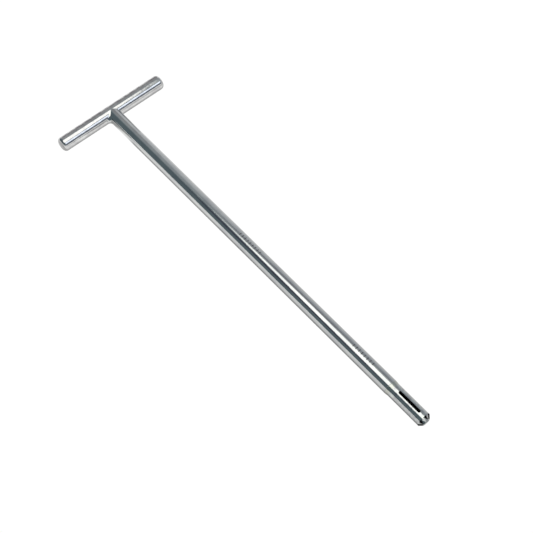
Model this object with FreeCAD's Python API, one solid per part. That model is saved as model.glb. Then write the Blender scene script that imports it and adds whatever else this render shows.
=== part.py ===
"""T-handle tap wrench: cross bar, long round shaft and a slotted tubular nose, lying flat.

Frame: the origin is the centre of the nose's mouth. +Y runs up the shaft to the cross bar,
+X along the cross bar and +Z up. All sizes are in millimetres.
"""
import FreeCAD
import Part
import os
from FreeCAD import Vector

# Driving dimensions
overall_length = 380.0          # mouth of the nose to the far side of the cross bar
bar_diameter = 12.7
bar_length = 106.0
bar_end_radius = 3.2            # rounding of the cross bar's ends
shaft_diameter = 12.5
weld_radius_left = 3.8          # fillet of filler metal in the corner on the -X side
weld_radius_right = 0.7         # the same on the +X side, where the joint is tight
weld_end_gap = 1.0              # each bead dies out this far from the joint's middle plane

nose_diameter = 11.8
nose_length = 36.6              # the visible length, mouth to the seam with the shaft
nose_seam_chamfer = 0.3
tip_bevel_length = 2.5          # bevel round the mouth, along the axis
tip_bevel_depth = 2.6           # the same bevel, towards the axis
spigot_diameter = 8.0           # the nose's hidden shank, brazed into the shaft
spigot_length = 14.0
spigot_hole_spare = 1.0         # depth left over behind the spigot

tap_bore_diameter = 5.1         # round bore for a 5.0 mm tap shank
tap_bore_depth = 22.0
tap_square_width = 4.1          # socket for the tap's 4.0 mm square
tap_square_depth = 8.0
bore_lead_in = 0.35

window_width = 2.5              # closed slot through one wall of the nose
window_start = 7.3              # mouth to the near end of the slot
window_end = 28.7
notch_count = 8                 # open notches round the mouth, one in line with the slot
notch_width = 2.6
notch_length = 3.2
notch_floor_radius = 3.1        # the notches stop short of the bore

braze_bead_length = 3.4         # tapers from the shaft's diameter down to the nose's

# Derived places
bar_radius = bar_diameter / 2
shaft_radius = shaft_diameter / 2
nose_radius = nose_diameter / 2
bar_axis_y = overall_length - bar_radius
joint_reach = 3 * bar_radius    # everything that belongs to the joint lies this near its centre
along_axis = Vector(0, 1, 0)
across = Vector(1, 0, 0)


def rod(radius, start_y, end_y):
    """Cylinder on the tool's axis between two stations."""
    return Part.makeCylinder(radius, end_y - start_y, Vector(0, start_y, 0), along_axis)


def cone_ring(outer_points):
    """Solid of revolution about the tool's axis from (radius, y) points."""
    corners = [Vector(radius, y, 0) for radius, y in outer_points]
    face = Part.Face(Part.makePolygon(corners + corners[:1]))
    return face.revolve(Vector(0, 0, 0), along_axis, 360)


def turned_about_axis(shape, degrees):
    """Turn a shape about the tool's axis, from straight up towards +X."""
    turned = shape.copy()
    turned.rotate(Vector(0, 0, 0), along_axis, degrees)
    return turned


def bar_cylinder():
    """The cross bar's full cylinder, before its ends are rounded."""
    return Part.makeCylinder(bar_radius, bar_length, Vector(-bar_length / 2, bar_axis_y, 0), across)


def handle_bar():
    """Solid round bar with rounded ends."""
    bar = bar_cylinder()
    end_edges = [edge for edge in bar.Edges if abs(abs(edge.CenterOfMass.x) - bar_length / 2) < 0.01]
    return bar.makeFillet(bar_end_radius, end_edges)


def shaft():
    """Solid rod with a saddle cut for the cross bar and a blind hole for the nose's spigot."""
    hole_depth = spigot_length + spigot_hole_spare
    blank = rod(shaft_radius, nose_length, bar_axis_y).cut(bar_cylinder())
    blank = max(blank.Solids, key=lambda solid: solid.Volume)
    return blank.cut(rod(spigot_diameter / 2, nose_length, nose_length + hole_depth))


def is_joint_seam(edge):
    """True for the curved edges where the shaft's surface meets the cross bar's."""
    middle = edge.CenterOfMass
    near_joint = max(abs(middle.x), abs(middle.y - bar_axis_y)) < joint_reach
    return near_joint and not isinstance(edge.Curve, (Part.Line, Part.Circle))


def weld_bead(radius, side):
    """Smooth bead of filler metal in the corner on one side of the shaft: side is -1 or +1.

    The bar and the shaft are almost equally thick, so their surfaces meet in a sharp corner at
    the sides and run into each other on top and underneath, where a bead has no thickness.
    """
    shaft_stub = rod(shaft_radius, bar_axis_y - joint_reach, bar_axis_y)
    tee = bar_cylinder().fuse(shaft_stub).removeSplitter()
    seam = [edge for edge in tee.Edges if is_joint_seam(edge)]
    ring = tee.makeFillet(radius, seam).cut(bar_cylinder()).cut(shaft_stub)
    low_x = weld_end_gap if side > 0 else -joint_reach
    half = Part.makeBox(joint_reach - weld_end_gap, 2 * joint_reach, 2 * joint_reach,
                        Vector(low_x, bar_axis_y - joint_reach, -joint_reach))
    return ring.common(half).Solids[0]


def handle_weld():
    """The weld metal of the joint: a large bead on the -X side and a small one on the +X side."""
    return Part.makeCompound([weld_bead(weld_radius_left, -1), weld_bead(weld_radius_right, 1)])


def mouth_cutters():
    """The slot through one wall and the open notches round the mouth."""
    half_width = window_width / 2
    straight = window_end - window_start - window_width
    middle_box = Part.makeBox(window_width, straight, nose_diameter,
                              Vector(-half_width, window_start + half_width, 0))
    near_end = Part.makeCylinder(half_width, nose_diameter, Vector(0, window_start + half_width, 0))
    far_end = Part.makeCylinder(half_width, nose_diameter, Vector(0, window_end - half_width, 0))
    window = middle_box.fuse([near_end, far_end])
    cutters = [window]
    notch = Part.makeBox(notch_width, notch_length + 1, nose_radius,
                         Vector(-notch_width / 2, -1, notch_floor_radius))
    for number in range(notch_count):
        cutters.append(turned_about_axis(notch, number * 360 / notch_count))
    return cutters


def nose_socket():
    """Turned nose: bevelled mouth, round bore, square socket, slot, notches and hidden spigot."""
    face_radius = nose_radius - tip_bevel_depth
    blank = cone_ring([
        (0, 0),
        (face_radius, 0),
        (nose_radius, tip_bevel_length),
        (nose_radius, nose_length - nose_seam_chamfer),
        (nose_radius - nose_seam_chamfer, nose_length),
        (spigot_diameter / 2, nose_length),
        (spigot_diameter / 2, nose_length + spigot_length),
        (0, nose_length + spigot_length),
    ])
    bore_radius = tap_bore_diameter / 2
    bore = cone_ring([
        (0, -1),
        (bore_radius + bore_lead_in, -1),
        (bore_radius + bore_lead_in, 0),
        (bore_radius, bore_lead_in),
        (bore_radius, tap_bore_depth),
        (0, tap_bore_depth),
    ])
    square = Part.makeBox(tap_square_width, tap_square_depth, tap_square_width,
                          Vector(-tap_square_width / 2, tap_bore_depth, -tap_square_width / 2))
    return blank.cut([bore, square] + mouth_cutters())


def nose_braze():
    """Thin bead of braze metal in the step between the nose and the shaft."""
    return cone_ring([
        (nose_radius - nose_seam_chamfer, nose_length),
        (nose_radius, nose_length - nose_seam_chamfer),
        (nose_radius, nose_length - braze_bead_length),
        (shaft_radius, nose_length),
    ])


def main():
    os.makedirs("parts", exist_ok=True)
    nodes = {
        "handle_bar": handle_bar(),
        "shaft": shaft(),
        "handle_weld": handle_weld(),
        "nose_socket": nose_socket(),
        "nose_braze": nose_braze(),
    }
    for name, shape in nodes.items():
        shape.exportStep("parts/" + name + ".step")
        box = shape.BoundBox
        print(name, shape.isValid(), len(shape.Solids), round(shape.Volume, 1),
              [round(v, 2) for v in (box.XMin, box.XMax, box.YMin, box.YMax, box.ZMin, box.ZMax)])


main()
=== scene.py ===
"""T-handle tap wrench lying on a pale floor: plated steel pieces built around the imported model."""
import bmesh
import bpy
from itertools import product
from math import cos, pi, radians, sin, sqrt
from mathutils import Matrix, Vector


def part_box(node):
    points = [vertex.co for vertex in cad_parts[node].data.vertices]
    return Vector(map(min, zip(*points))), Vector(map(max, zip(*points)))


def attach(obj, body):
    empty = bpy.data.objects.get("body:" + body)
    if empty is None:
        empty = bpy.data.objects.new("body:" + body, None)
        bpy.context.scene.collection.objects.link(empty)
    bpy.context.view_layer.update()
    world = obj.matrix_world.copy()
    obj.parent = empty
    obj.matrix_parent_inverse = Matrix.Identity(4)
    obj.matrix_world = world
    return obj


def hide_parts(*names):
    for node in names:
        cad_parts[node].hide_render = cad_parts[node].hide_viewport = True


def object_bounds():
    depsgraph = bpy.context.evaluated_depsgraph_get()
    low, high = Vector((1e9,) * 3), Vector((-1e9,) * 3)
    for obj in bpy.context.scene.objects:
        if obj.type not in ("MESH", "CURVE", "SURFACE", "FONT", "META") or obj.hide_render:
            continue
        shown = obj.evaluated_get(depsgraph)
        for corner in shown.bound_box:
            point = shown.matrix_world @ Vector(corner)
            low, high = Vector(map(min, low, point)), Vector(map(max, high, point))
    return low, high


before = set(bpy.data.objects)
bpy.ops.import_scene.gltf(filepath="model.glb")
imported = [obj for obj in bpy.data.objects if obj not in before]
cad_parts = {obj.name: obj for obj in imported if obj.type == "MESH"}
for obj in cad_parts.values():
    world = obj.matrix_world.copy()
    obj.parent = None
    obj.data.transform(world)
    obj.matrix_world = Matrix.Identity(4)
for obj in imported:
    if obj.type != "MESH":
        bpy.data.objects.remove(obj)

cad_low, cad_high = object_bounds()
MM = 0.001

# Sizes taken from the frame's nodes, in metres
bar_low, bar_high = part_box("handle_bar")
shaft_low, shaft_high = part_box("shaft")
nose_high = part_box("nose_socket")[1]
BAR_RADIUS = bar_high.z
BAR_AXIS_Y = (bar_low.y + bar_high.y) / 2
BAR_HALF = bar_high.x
SHAFT_RADIUS = shaft_high.z
NOSE_RADIUS = nose_high.z
SPIGOT_END_Y = nose_high.y
SEAM_Y = shaft_low.y
BRAZE_START_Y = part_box("nose_braze")[0].y

# Cross bar and weld
BAR_END_RADIUS = 3.2 * MM
WELD_RADIUS_LEFT = 3.8 * MM
WELD_RADIUS_RIGHT = 0.7 * MM
WELD_ROOT = 0.3 * MM            # how far the weld goes in past the corner of shaft and bar

# Mouth, bore and spigot of the nose
TIP_BEVEL_LENGTH = 2.5 * MM
TIP_BEVEL_DEPTH = 2.6 * MM
BORE_RADIUS = 2.55 * MM
BORE_DEPTH = 22.0 * MM
BORE_LEAD_IN = 0.35 * MM
SQUARE_WIDTH = 4.1 * MM
SQUARE_DEPTH = 8.0 * MM
SPIGOT_RADIUS = 4.0 * MM
SEAM_CHAMFER = 0.3 * MM
NOSE_EDGE = 0.08 * MM

# Slot and notches in the nose's wall
WINDOW_WIDTH = 2.5 * MM
WINDOW_START = 7.3 * MM
WINDOW_END = 28.7 * MM
NOTCH_COUNT = 8
NOTCH_WIDTH = 2.6 * MM
NOTCH_LENGTH = 3.2 * MM
NOTCH_FLOOR = 3.1 * MM

# Shaft's lower edge, and its rows of ticks: first station, lean in degrees, number of ticks
SHAFT_EDGE = 0.2 * MM
TICK_ROWS = ((206.0 * MM, 10, 9), (77.0 * MM, 9, 8))
TICK_SPACING = 2.9 * MM
TICK_WIDTH = 0.7 * MM
TICK_HALF_LENGTH = 2.0 * MM
TICK_DEPTH = 0.16 * MM

# Which faces take a piece's second material
BRIGHT_MOUTH = 5.0 * MM         # the bore keeps its plate this far in from the mouth; deeper in, it is painted black shade
MOUTH_MARGIN = 0.05 * MM
END_MARGIN = 1.0 * MM
TICK_MARGIN = 0.01 * MM
WALL_MARGIN = 0.12 * MM

# Mesh fineness, and how far cutters and buried surfaces go past the surface that they meet
ROUND_STEPS = 144
WELD_ARC_STEPS = 12
CUTTER_REACH = 1.0 * MM
OVERLAP = 0.1 * MM
ROUNDING = 0.001 * MM           # stations closer than this are the same

# Studio, in metres
FLOOR_GAP = 0.05 * MM
PAPER_HALF = 2.5
BACKDROP_RADIUS = 7
LIGHT_HEIGHT = 2.0

# Shader nodes stand in one row left of the shader, with room for this many
NODE_SPACING = 200
NODE_ROW = 30


# ---------------------------------------------------------------- mesh helpers

def new_object(name, mesh):
    """Object for a mesh, linked to the scene."""
    piece = bpy.data.objects.new(name, mesh)
    bpy.context.scene.collection.objects.link(piece)
    return piece


def mesh_object(name, points, faces):
    """Object from points and faces, with its faces turned outwards."""
    mesh = bpy.data.meshes.new(name)
    mesh.from_pydata([tuple(point) for point in points], [], faces)
    work = bmesh.new()
    work.from_mesh(mesh)
    bmesh.ops.recalc_face_normals(work, faces=work.faces)
    work.to_mesh(mesh)
    work.free()
    return new_object(name, mesh)


def lathe(name, profile, along="Y"):
    """Closed solid of revolution about an axis, Y or X.

    The profile is (radius, station) pairs. Radius 0 is a pole; without poles, it is a closed loop.
    """
    points, faces, rings = [], [], []
    for radius, station in profile:
        if radius == 0:
            rings.append([len(points)])
            points.append((0, station, 0) if along == "Y" else (station, 0, 0))
            continue
        ring = []
        for step in range(ROUND_STEPS):
            turn = 2 * pi * step / ROUND_STEPS
            side, up = radius * sin(turn), radius * cos(turn)
            ring.append(len(points))
            points.append((side, station, up) if along == "Y" else (station, side, up))
        rings.append(ring)
    if len(rings[0]) > 1:
        rings.append(rings[0])
    for low, high in zip(rings, rings[1:]):
        for step in range(ROUND_STEPS):
            after = (step + 1) % ROUND_STEPS
            corners = [low[step % len(low)], low[after % len(low)],
                       high[after % len(high)], high[step % len(high)]]
            faces.append(list(dict.fromkeys(corners)))
    return mesh_object(name, points, faces)


def arc_points(centre, radius, start, end, count):
    """Points of a round stretch in an outline or a lathe profile, angles in degrees."""
    found = []
    for number in range(count + 1):
        turn = radians(start + (end - start) * number / count)
        found.append((centre[0] + radius * cos(turn), centre[1] + radius * sin(turn)))
    return found


def straight_points(radius, start, end, count):
    """Evenly spaced points of a straight stretch in a lathe profile, without its first one."""
    return [(radius, start + (end - start) * number / count) for number in range(1, count + 1)]


def boxes_mesh(name, boxes):
    """One mesh of separate boxes, each from its low and high corners."""
    # corner numbers of the six sides
    sides = ((0, 1, 3, 2), (4, 6, 7, 5), (0, 4, 5, 1), (2, 3, 7, 6), (0, 2, 6, 4), (1, 5, 7, 3))
    points, faces = [], []
    for low, high in boxes:
        first = len(points)
        points += product(*zip(low, high))
        for side in sides:
            faces.append([first + corner for corner in side])
    return mesh_object(name, points, faces)


def turned(piece, degrees):
    """Turn about the tool's axis, from straight up towards +X."""
    piece.data.transform(Matrix.Rotation(radians(degrees), 4, "Y"))
    return piece


def apply_modifiers(piece):
    """Make a piece's mesh what its modifiers show, and remove them."""
    graph = bpy.context.evaluated_depsgraph_get()
    piece.data = bpy.data.meshes.new_from_object(piece.evaluated_get(graph))
    piece.modifiers.clear()


def merge_slivers(piece):
    """Merge points that lie together, and take out the faces that this leaves empty."""
    gap = 0.0001 * MM
    work = bmesh.new()
    work.from_mesh(piece.data)
    bmesh.ops.remove_doubles(work, verts=work.verts, dist=gap)
    bmesh.ops.dissolve_degenerate(work, edges=work.edges, dist=gap)
    work.to_mesh(piece.data)
    work.free()


def cut(piece, cutter):
    """Subtract a cutter from a piece, and remove the cutter."""
    step = piece.modifiers.new("cut", "BOOLEAN")
    step.operation = "DIFFERENCE"
    step.solver = "EXACT"
    step.object = cutter
    apply_modifiers(piece)
    bpy.data.objects.remove(cutter)
    merge_slivers(piece)


def soften(piece, width):
    """Break the sharp edges by a small width."""
    step = piece.modifiers.new("edges", "BEVEL")
    step.width = width
    step.segments = 2
    step.limit_method = "ANGLE"
    step.angle_limit = radians(30)
    apply_modifiers(piece)
    merge_slivers(piece)


def shade_smooth(piece, angle=30):
    """Shade as round, apart from edges sharper than the angle in degrees."""
    piece.data.shade_smooth()
    piece.data.set_sharp_from_angle(angle=radians(angle))


def shade_turned(piece, skin_radius):
    """Shade the faces that lie on a turned skin as exactly round, and the rest by angle.

    skin_radius gives the skin's radius at a station on the tool's axis.
    """
    shade_smooth(piece)
    mesh = piece.data
    normals = [Vector(corner.vector) for corner in mesh.corner_normals]
    step = 0.01 * MM
    tolerance = 0.02 * MM
    for face in mesh.polygons:
        corners = [mesh.vertices[index].co for index in face.vertices]
        if all(abs(from_axis(co) - skin_radius(co.y)) < tolerance for co in corners):
            middle = face.center.y
            slope = (skin_radius(middle + step) - skin_radius(middle - step)) / (2 * step)
            for index, co in zip(face.loop_indices, corners):
                around = Vector((co.x, 0, co.z)).normalized()
                normals[index] = (around - Vector((0, slope, 0))).normalized()
    mesh.normals_split_custom_set(normals)


def use_second_material(piece, is_chosen):
    """Give a piece's second material to the faces whose middle is chosen."""
    for face in piece.data.polygons:
        if is_chosen(face.center):
            face.material_index = 1


def from_axis(point):
    """Distance from the tool's long axis."""
    return sqrt(point.x ** 2 + point.z ** 2)


def ease(share):
    """Smooth 0 to 1, level at both ends."""
    return share * share * (3 - 2 * share)


# ---------------------------------------------------------------- pieces

def build_handle_bar():
    """Solid round bar with rounded ends."""
    flat = BAR_RADIUS - BAR_END_RADIUS
    rings = 40
    right = arc_points((flat, BAR_HALF - BAR_END_RADIUS), BAR_END_RADIUS, 0, 90, count=10)
    left = [(radius, -station) for radius, station in reversed(right)]
    body = [(BAR_RADIUS, BAR_HALF * (2 * ring / rings - 1)) for ring in range(2, rings - 1)]
    profile = [(0, -BAR_HALF), (flat * 0.5, -BAR_HALF)] + left + body
    profile += right + [(flat * 0.5, BAR_HALF), (0, BAR_HALF)]
    piece = lathe("cross_bar", profile, along="X")
    piece.data.transform(Matrix.Translation((0, BAR_AXIS_Y, 0)))
    shade_smooth(piece)
    return piece


def build_shaft():
    """Long round shaft, saddled onto the cross bar, with two rows of plain stamped ticks."""
    top = BAR_AXIS_Y - BAR_RADIUS
    profile = [(0, SEAM_Y), (SHAFT_RADIUS - SHAFT_EDGE, SEAM_Y)]
    profile += [(SHAFT_RADIUS, SEAM_Y + SHAFT_EDGE)]
    profile += straight_points(SHAFT_RADIUS, SEAM_Y, top, count=60)
    profile += [(SHAFT_RADIUS * 0.5, top), (0, top)]
    piece = lathe("shaft_rod", profile)
    for point in piece.data.vertices:
        if point.co.y > top - ROUNDING:
            point.co.y = BAR_AXIS_Y - sqrt(max(BAR_RADIUS ** 2 - point.co.z ** 2, 0))
    for first_station, lean, count in TICK_ROWS:
        cut(piece, turned(tick_cutter(first_station, count), lean))
    shade_turned(piece, shaft_skin)
    use_second_material(piece, is_in_tick)
    return piece


def tick_cutter(first_station, count):
    """Cutter for a row of ticks along the shaft's top, from the first one towards the nose."""
    ticks = []
    for number in range(count):
        station = first_station - number * TICK_SPACING
        low = (-TICK_HALF_LENGTH, station - TICK_WIDTH, SHAFT_RADIUS - TICK_DEPTH)
        high = (TICK_HALF_LENGTH, station, SHAFT_RADIUS + CUTTER_REACH)
        ticks.append((low, high))
    return boxes_mesh("ticks", ticks)


def shaft_skin(station):
    """Radius of the shaft's outside, the same at every station."""
    return SHAFT_RADIUS


def is_in_tick(point):
    """True for the floors and walls of the ticks."""
    clear_of_ends = SEAM_Y + END_MARGIN < point.y < BAR_AXIS_Y - 2 * BAR_RADIUS
    return clear_of_ends and SHAFT_RADIUS - from_axis(point) > TICK_MARGIN


def build_weld():
    """Weld metal between the shaft and the cross bar: a rolling-ball fillet as one closed ring."""
    sections = ROUND_STEPS * 2
    loop = WELD_ARC_STEPS + 2
    points, faces = [], []
    for step in range(sections):
        points += weld_section(2 * pi * step / sections)
        after = (step + 1) % sections
        for number in range(loop):
            ahead = (number + 1) % loop
            faces.append([step * loop + number, step * loop + ahead,
                          after * loop + ahead, after * loop + number])
    piece = mesh_object("weld_bead", points, faces)
    shade_smooth(piece, 60)
    return piece


def weld_section(turn):
    """Outline of the weld at a turn round the shaft, counted from straight up towards +X.

    A ball that touches shaft and bar gives the arc. One last point, inside the metal, closes it.
    """
    side, up = sin(turn), cos(turn)
    share = ease((1 + side) / 2)
    ball_radius = WELD_RADIUS_LEFT + (WELD_RADIUS_RIGHT - WELD_RADIUS_LEFT) * share
    height = (SHAFT_RADIUS + ball_radius) * up
    behind = sqrt((BAR_RADIUS + ball_radius) ** 2 - height ** 2)
    ball = Vector(((SHAFT_RADIUS + ball_radius) * side, BAR_AXIS_Y - behind, height))
    to_shaft = Vector((-side, 0, -up))
    to_bar = Vector((0, behind, -height)).normalized()
    section = []
    for number in range(WELD_ARC_STEPS + 1):
        section.append(ball + to_shaft.slerp(to_bar, number / WELD_ARC_STEPS) * ball_radius)
    to_corner = (to_shaft + to_bar).normalized()
    corner_distance = ball_radius / cos(to_shaft.angle(to_bar) / 2)
    section.append(ball + to_corner * (corner_distance + WELD_ROOT))
    return section


def build_nose():
    """Turned tubular nose with a bevelled mouth, a bore, a closed slot and open notches."""
    piece = lathe("slotted_nose", nose_profile())
    half = SQUARE_WIDTH / 2
    low = (-half, BORE_DEPTH - OVERLAP, -half)
    high = (half, BORE_DEPTH + SQUARE_DEPTH, half)
    cut(piece, boxes_mesh("square", [(low, high)]))
    cut(piece, window_cutter())
    half = NOTCH_WIDTH / 2
    low = (-half, -CUTTER_REACH, NOTCH_FLOOR)
    high = (half, NOTCH_LENGTH, 2 * NOSE_RADIUS)
    for number in range(NOTCH_COUNT):
        notch = boxes_mesh("notch", [(low, high)])
        cut(piece, turned(notch, number * 360 / NOTCH_COUNT))
    soften(piece, NOSE_EDGE)
    shade_turned(piece, nose_skin)
    use_second_material(piece, is_inside_nose)
    return piece


def nose_profile():
    """Lathe profile of the nose: bore, mouth, outside and hidden spigot."""
    profile = [(0, BORE_DEPTH), (BORE_RADIUS, BORE_DEPTH), (BORE_RADIUS, BRIGHT_MOUTH)]
    profile += [(BORE_RADIUS, BORE_LEAD_IN), (BORE_RADIUS + BORE_LEAD_IN, 0)]
    profile += [(NOSE_RADIUS - TIP_BEVEL_DEPTH, 0), (NOSE_RADIUS, TIP_BEVEL_LENGTH)]
    profile += straight_points(NOSE_RADIUS, TIP_BEVEL_LENGTH, SEAM_Y - SEAM_CHAMFER, count=40)
    profile += [(NOSE_RADIUS - SEAM_CHAMFER, SEAM_Y), (SPIGOT_RADIUS, SEAM_Y)]
    profile += [(SPIGOT_RADIUS, SPIGOT_END_Y), (0, SPIGOT_END_Y)]
    return profile


def window_cutter():
    """Cutter for the closed slot in the nose's upper wall, with half-round ends."""
    half = WINDOW_WIDTH / 2
    outline = arc_points((0, WINDOW_END - half), half, 0, 180, count=12)
    outline += arc_points((0, WINDOW_START + half), half, 180, 360, count=12)
    count = len(outline)
    points = [(x, y, z) for z in (0, 2 * NOSE_RADIUS) for x, y in outline]
    faces = [list(range(count)), list(range(2 * count - 1, count - 1, -1))]
    for number in range(count):
        after = (number + 1) % count
        faces.append([number, after, after + count, number + count])
    return mesh_object("window_cutter", points, faces)


def nose_skin(station):
    """Radius of the nose's outside at a station on its axis."""
    return NOSE_RADIUS - TIP_BEVEL_DEPTH * max(0, 1 - station / TIP_BEVEL_LENGTH)


def is_inside_nose(point):
    """True for the walls of slot, notches and deep bore, which take a near-black painted shade."""
    clear_of_ends = MOUTH_MARGIN < point.y < SEAM_Y - END_MARGIN
    below_skin = nose_skin(point.y) - from_axis(point) > WALL_MARGIN
    above_floor = from_axis(point) > NOTCH_FLOOR + WALL_MARGIN
    return clear_of_ends and below_skin and (point.y > BRIGHT_MOUTH or above_floor)


def build_braze():
    """Bead of braze metal that tapers smoothly from the shaft's diameter down to the nose's."""
    count = 16
    profile = [(NOSE_RADIUS - SEAM_CHAMFER, SEAM_Y), (NOSE_RADIUS - OVERLAP, BRAZE_START_Y)]
    for number in range(count + 1):
        share = number / count
        radius = NOSE_RADIUS + (SHAFT_RADIUS - NOSE_RADIUS) * ease(share)
        profile.append((radius, BRAZE_START_Y + (SEAM_Y - BRAZE_START_Y) * share))
    piece = lathe("braze_bead", profile)
    shade_smooth(piece, 50)
    return piece


# ---------------------------------------------------------------- shader nodes

def node(tree, kind, **values):
    """New shader node, next in the row. Each value sets the input or the setting that it names."""
    made = tree.nodes.new(kind)
    made.location = (NODE_SPACING * (len(tree.nodes) - NODE_ROW), 0)
    for name, value in values.items():
        if name in made.inputs.keys():
            made.inputs[name].default_value = value
        else:
            setattr(made, name, value)
    return made


def object_position(tree):
    """Position in metres on the object's own axes."""
    return node(tree, "ShaderNodeTexCoord").outputs["Object"]


def axes(tree, position):
    """Sockets of a position's or direction's X, Y and Z."""
    split = node(tree, "ShaderNodeSeparateXYZ")
    tree.links.new(position, split.inputs[0])
    return split.outputs


def noise(tree, position, scale, detail):
    """Random level that changes softly with the position."""
    made = node(tree, "ShaderNodeTexNoise", Scale=scale, Detail=detail)
    tree.links.new(position, made.inputs["Vector"])
    return made.outputs["Fac"]


def map_range(tree, source, start, end, low=0, high=1, curve="LINEAR"):
    """Level that goes from low to high as the source goes from start to end."""
    made = node(tree, "ShaderNodeMapRange", interpolation_type=curve)
    for name, value in (("From Min", start), ("From Max", end), ("To Min", low), ("To Max", high)):
        made.inputs[name].default_value = value
    tree.links.new(source, made.inputs["Value"])
    return made.outputs["Result"]


def ramp_up(tree, source, start, end):
    """Smooth 0 to 1 as the source goes from start to end."""
    return map_range(tree, source, start, end, curve="SMOOTHSTEP")


def colour_ramp(tree, source, stops):
    """Colour that follows the source through stops of (position, colour)."""
    made = node(tree, "ShaderNodeValToRGB")
    marks = made.color_ramp.elements
    while len(marks) < len(stops):
        marks.new(0.5)
    for number, (position, colour) in enumerate(stops):
        marks[number].position = position
        marks[number].color = (*colour, 1)
    tree.links.new(source, made.inputs["Fac"])
    return made.outputs["Color"]


def combine(tree, operation, first, second):
    """Result of a math operation on two levels."""
    made = node(tree, "ShaderNodeMath", operation=operation)
    tree.links.new(first, made.inputs[0])
    tree.links.new(second, made.inputs[1])
    return made.outputs[0]


def blend(tree, share, first, second):
    """Mix two colours, each a plain value or a socket."""
    mix = node(tree, "ShaderNodeMix", data_type="RGBA")
    tree.links.new(share, mix.inputs[0])
    # inputs 6 and 7 and output 2 are this node's colours
    for socket, colour in ((mix.inputs[6], first), (mix.inputs[7], second)):
        if isinstance(colour, tuple):
            socket.default_value = (*colour, 1)
        else:
            tree.links.new(colour, socket)
    return mix.outputs[2]


def bump(tree, height, strength, below=None):
    """Normal that follows the height, on top of another normal if there is one."""
    made = node(tree, "ShaderNodeBump", Strength=strength, Distance=0.2 * MM)
    tree.links.new(height, made.inputs["Height"])
    if below:
        tree.links.new(below, made.inputs["Normal"])
    return made.outputs["Normal"]


# ---------------------------------------------------------------- materials

def plated(name, light, dark, rough_low, rough_high, grain=(900, 9, 900), cloud_scale=55,
           metallic=1.0, specular=0.5):
    """Bright plate over drawn steel: lengthwise draw lines, faint cloudiness and fine pitting."""
    material = bpy.data.materials.new(name)
    material.use_nodes = True
    tree = material.node_tree
    shader = tree.nodes["Principled BSDF"]
    shader.inputs["Metallic"].default_value = metallic
    shader.inputs["Specular IOR Level"].default_value = specular
    position = object_position(tree)
    clouds = noise(tree, position, scale=cloud_scale, detail=5)
    tint = colour_ramp(tree, clouds, ((0.3, dark), (0.7, light)))
    tree.links.new(tint, shader.inputs["Base Color"])
    patches = noise(tree, position, scale=140, detail=6)
    polish = map_range(tree, patches, 0.3, 0.7, rough_low, rough_high)
    tree.links.new(polish, shader.inputs["Roughness"])
    stretch = node(tree, "ShaderNodeMapping", Scale=grain)
    tree.links.new(position, stretch.inputs["Vector"])
    draw_lines = noise(tree, stretch.outputs["Vector"], scale=1, detail=3)
    pits = noise(tree, position, scale=420, detail=2)
    relief = bump(tree, pits, strength=0.12, below=bump(tree, draw_lines, strength=0.05))
    tree.links.new(relief, shader.inputs["Normal"])
    return material


def blotches_and_painted_shade_far_side(material):
    """Darken the plating in soft blotches along the bar's top, on the side away from the shaft:
    blotchy plate, kept to the side that mirrors the dim room, so partly a painted shade.
    """
    tree = material.node_tree
    position = object_position(tree)
    axis = axes(tree, position)
    blotches = ramp_up(tree, noise(tree, position, scale=240, detail=3), 0.43, 0.58)
    full = 0.45 * BAR_RADIUS
    far_side = ramp_up(tree, axis["Y"], BAR_AXIS_Y + 0.1 * BAR_RADIUS, BAR_AXIS_Y + full)
    top = ramp_up(tree, axis["Z"], 0.05 * BAR_RADIUS, full)
    amount = combine(tree, "MULTIPLY", combine(tree, "MULTIPLY", blotches, far_side), top)
    base = tree.nodes["Principled BSDF"].inputs["Base Color"]
    clean = base.links[0].from_socket
    # Dark blotches on the far top side: blotchy plate and painted shade together.
    tree.links.new(blend(tree, amount, clean, (0.33, 0.31, 0.33)), base)


def dress(piece, slot, cad_node, *materials):
    """Give a piece its materials and its place in the frame."""
    for material in materials:
        piece.data.materials.append(material)
    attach(piece, "root")
    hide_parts(cad_node)


# ---------------------------------------------------------------- studio

def glow(name, colour, strength=1.0):
    """Plain emissive material for a studio card."""
    material = bpy.data.materials.new(name)
    material.use_nodes = True
    tree = material.node_tree
    tree.nodes.remove(tree.nodes["Principled BSDF"])
    light = node(tree, "ShaderNodeEmission", Color=(*colour, 1), Strength=strength)
    tree.links.new(light.outputs[0], tree.nodes["Material Output"].inputs["Surface"])
    return material


def soft_glow(name, colour, strength, start, end):
    """Emissive material that fades to clear from the start radius to the end radius of its card."""
    material = glow(name, colour, strength)
    tree = material.node_tree
    reach = node(tree, "ShaderNodeVectorMath", operation="LENGTH")
    tree.links.new(object_position(tree), reach.inputs[0])
    clear = node(tree, "ShaderNodeBsdfTransparent")
    fade = node(tree, "ShaderNodeMixShader")
    tree.links.new(ramp_up(tree, reach.outputs["Value"], start, end), fade.inputs[0])
    tree.links.new(tree.nodes["Emission"].outputs[0], fade.inputs[1])
    tree.links.new(clear.outputs[0], fade.inputs[2])
    tree.links.new(fade.outputs[0], tree.nodes["Material Output"].inputs["Surface"])
    return material


def shade_along(tree, source, start, end, stops):
    """Painted shade: grey level through stops of (distance, level) on a scale from start to end, all
    in mm.
    """
    share = map_range(tree, source, start * MM, end * MM)
    marks = [((distance - start) / (end - start), (level,) * 3) for distance, level in stops]
    return colour_ramp(tree, share, marks)


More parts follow.
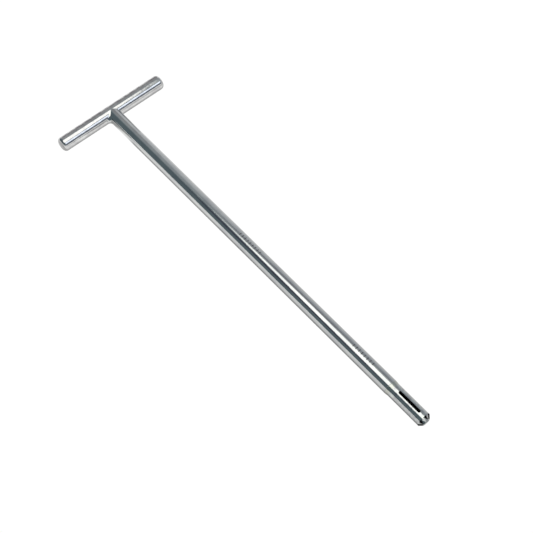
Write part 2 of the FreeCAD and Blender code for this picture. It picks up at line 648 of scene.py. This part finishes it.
def paper_with_painted_shadow(name):
    """White paper with a painted shadow: darker in the corners where the tool rests on it, and
    painted a little dimmer further out to the right of the shaft and towards the nose.

    Distances run from the bar's axis along Y and from the shaft's axis along X.
    """
    material = glow(name, (1, 1, 1))
    tree = material.node_tree
    axis = axes(tree, object_position(tree))
    # Painted shadow: dark close to the shaft, most on its left, and dimmer far out to its right.
    painted_shadow_beside_shaft = shade_along(tree, axis["X"], -40, 80, (
        (-30, 1.02), (-19, 0.90), (-14, 0.66), (-11, 0.48), (-7, 0.36),
        (7, 0.88), (13, 0.96), (22, 0.86), (32, 0.76), (70, 0.67)))
    # Painted shadow: dark close to the bar, and a little dimmer far towards the nose.
    painted_shadow_beside_bar = shade_along(tree, axis["Y"], -240, 60, (
        (-230, 0.90), (-175, 0.91), (-125, 1.0), (-20, 1.06), (-14, 0.97),
        (-11, 0.78), (-9, 0.58), (-7, 0.50), (8, 0.60), (40, 1.0)))
    near_bar = ramp_up(tree, axis["Y"], -45 * MM, -24 * MM)
    painted_shadow_beside_shaft = combine(tree, "MAXIMUM", painted_shadow_beside_shaft, near_bar)
    level = combine(tree, "MULTIPLY", painted_shadow_beside_shaft, painted_shadow_beside_bar)
    # Painted shadow: these levels dim the paper's glow where the tool would shade it.
    tree.links.new(level, tree.nodes["Emission"].inputs["Strength"])
    return material


def panel(name, centre, across, up, material):
    """Flat studio card from its centre and two half-edge vectors. It lights the tool, unseen."""
    across, up = Vector(across), Vector(up)
    corners = [-across - up, across - up, across + up, -across + up]
    piece = mesh_object(name, corners, [(0, 1, 2, 3)])
    piece.location = centre
    piece.data.materials.append(material)
    piece.visible_camera = False
    piece.visible_shadow = False
    return piece


def only_camera_sees(piece):
    """Show a studio piece to the camera, and leave it out of light, reflections and shadows."""
    piece.visible_camera = True
    for ray in ("visible_diffuse", "visible_glossy", "visible_transmission", "visible_shadow"):
        setattr(piece, ray, False)


def build_floor_and_backdrop():
    """White paper all round for the camera, and paper with a painted corner shadow for reflections.
    """
    centre = (0, BAR_AXIS_Y, cad_low.z - FLOOR_GAP)
    paper = (centre, (PAPER_HALF, 0, 0), (0, PAPER_HALF, 0))
    white = glow("white_paper", (1, 1, 1), 1.02)
    only_camera_sees(panel("floor", *paper, white))
    panel("floor_in_reflections", *paper, paper_with_painted_shadow("floor_paper_painted_shadow"))
    ball = bmesh.new()
    bmesh.ops.create_uvsphere(ball, u_segments=48, v_segments=24, radius=BACKDROP_RADIUS)
    mesh = bpy.data.meshes.new("backdrop")
    ball.to_mesh(mesh)
    ball.free()
    backdrop = new_object("backdrop", mesh)
    backdrop.data.materials.append(white)
    only_camera_sees(backdrop)


def build_lights():
    """One soft round light overhead, a cool fill beside it, and darker cards round them."""
    key = soft_glow("key_light", (1.0, 1.0, 0.965), 1.75, 0.79, 1.07)
    panel("key_light", (0.01, 0.20, LIGHT_HEIGHT), (1.1, 0, 0), (0, 1.1, 0), key)
    flag = glow("grey_flag", (0.46, 0.50, 0.51))
    panel("grey_flag", (1.095, 0, LIGHT_HEIGHT - 0.05), (0.40, 0, 0), (0.035, 0.78, 0), flag)
    fill = glow("cool_fill", (1.43, 1.55, 1.75))
    panel("cool_fill", (0.9, -1.50, LIGHT_HEIGHT), (1.2, 0, 0), (0, 0.60, 0), fill)
    dim = glow("dim_card", (0.22, 0.21, 0.24))
    panel("right_card", (1.68, 0.95, LIGHT_HEIGHT), (0.42, 0, 0), (0, 0.45, 0), dim)
    dark = glow("dark_card", (0.070, 0.072, 0.105))
    panel("left_card", (-1.22, 1.03, LIGHT_HEIGHT + 0.03), (0.46, 0, 0), (0, 0.44, 0), dark)


def build_walls():
    """Upright cards: the paper's pale edges, a dark gap above the front one, a grey far wall."""
    paper_edge = glow("paper_edge", (1.0, 1.02, 1.0), 0.97)
    panel("left_paper_edge", (-2.4, 0.2, 0.22), (0, 2.6, 0), (0, 0, 0.24), paper_edge)
    panel("front_paper_edge", (0, -2.3, 0.35), (2.4, 0, 0), (0, 0, 0.37), paper_edge)
    navy = glow("navy", (0.15, 0.17, 0.22))
    panel("dark_gap", (0.5, -2.35, 1.25), (2.0, 0, 0), (0, 0, 0.53), navy)
    far_grey = glow("far_grey", (0.36, 0.365, 0.375))
    panel("far_wall", (1.05, 2.0, 1.2), (0.75, 0, 0), (0, 0, 1.2), far_grey)


def build_world():
    """Dim room: dark and cool on the left, grey on the right, pale low down and far right."""
    world = bpy.context.scene.world or bpy.data.worlds.new("room")
    bpy.context.scene.world = world
    world.use_nodes = True
    tree = world.node_tree
    axis = axes(tree, node(tree, "ShaderNodeTexCoord").outputs["Generated"])
    height = colour_ramp(tree, axis["Z"], (
        (0.0, (0.63, 0.65, 0.68)), (0.5, (0.355, 0.385, 0.42)), (0.8, (0.345, 0.38, 0.40))))
    right_half = ramp_up(tree, axis["X"], -0.26, 0.10)
    far_right = combine(tree, "MULTIPLY", ramp_up(tree, axis["X"], 0.30, 0.80),
                        ramp_up(tree, axis["Y"], 0.25, 0.55))
    walls = blend(tree, right_half, (0.125, 0.165, 0.185), height)
    walls = blend(tree, far_right, walls, (0.66, 0.68, 0.70))
    background = tree.nodes["Background"]
    background.inputs["Strength"].default_value = 1.0
    tree.links.new(walls, background.inputs["Color"])


def build_camera():
    """Camera that looks down at the middle of the tool from the left, beyond its nose."""
    azimuth, elevation = radians(-41.39), radians(60.2)
    distance = 0.780
    aim = Vector((-0.88 * MM, BAR_AXIS_Y - 201.25 * MM, 0))
    back = Vector((sin(azimuth) * cos(elevation), -cos(azimuth) * cos(elevation), sin(elevation)))
    camera = bpy.data.cameras.new("camera")
    camera.lens = 67.5
    camera.sensor_width = 36
    camera_object = bpy.data.objects.new("camera", camera)
    camera_object.location = aim + back * distance
    camera_object.rotation_euler = (-back).to_track_quat("-Z", "Y").to_euler()
    bpy.context.scene.collection.objects.link(camera_object)
    bpy.context.scene.camera = camera_object
    bpy.context.scene.view_settings.view_transform = "Standard"


# ---------------------------------------------------------------- scene

build_camera()
build_floor_and_backdrop()
build_lights()
build_walls()
build_world()

bar_plate = plated("bar_plate", (0.72, 0.72, 0.71), (0.51, 0.505, 0.51), 0.08, 0.16,
                   grain=(9, 900, 900), cloud_scale=260)
# Blotchy plate with painted shade on the bar's far top side.
blotches_and_painted_shade_far_side(bar_plate)
shaft_plate = plated("shaft_plate", (0.63, 0.64, 0.63), (0.51, 0.52, 0.53), 0.06, 0.12,
                     cloud_scale=90)
weld_plate = plated("weld_plate", (0.60, 0.61, 0.60), (0.55, 0.56, 0.56), 0.08, 0.14)
nose_plate = plated("nose_plate", (0.66, 0.695, 0.67), (0.43, 0.425, 0.44), 0.07, 0.14,
                    cloud_scale=480)
braze_plate = plated("braze_plate", (0.58, 0.59, 0.55), (0.52, 0.53, 0.49), 0.08, 0.15)
# Near-black, dull material: painted shade for the walls of slot, notches and deep bore.
painted_shade_black = plated("painted_shade_black", (0.010, 0.009, 0.010), (0.005, 0.005, 0.006), 0.6, 0.9,
                    metallic=0.0, specular=0.08)
tick_steel = plated("tick_steel", (0.20, 0.19, 0.20), (0.13, 0.125, 0.13), 0.3, 0.5)

dress(build_handle_bar(), "plated_bar", "handle_bar", bar_plate)
dress(build_shaft(), "plated_shaft", "shaft", shaft_plate, tick_steel)
dress(build_weld(), "plated_weld", "handle_weld", weld_plate)
dress(build_nose(), "plated_nose", "nose_socket", nose_plate, painted_shade_black)
dress(build_braze(), "braze", "nose_braze", braze_plate)
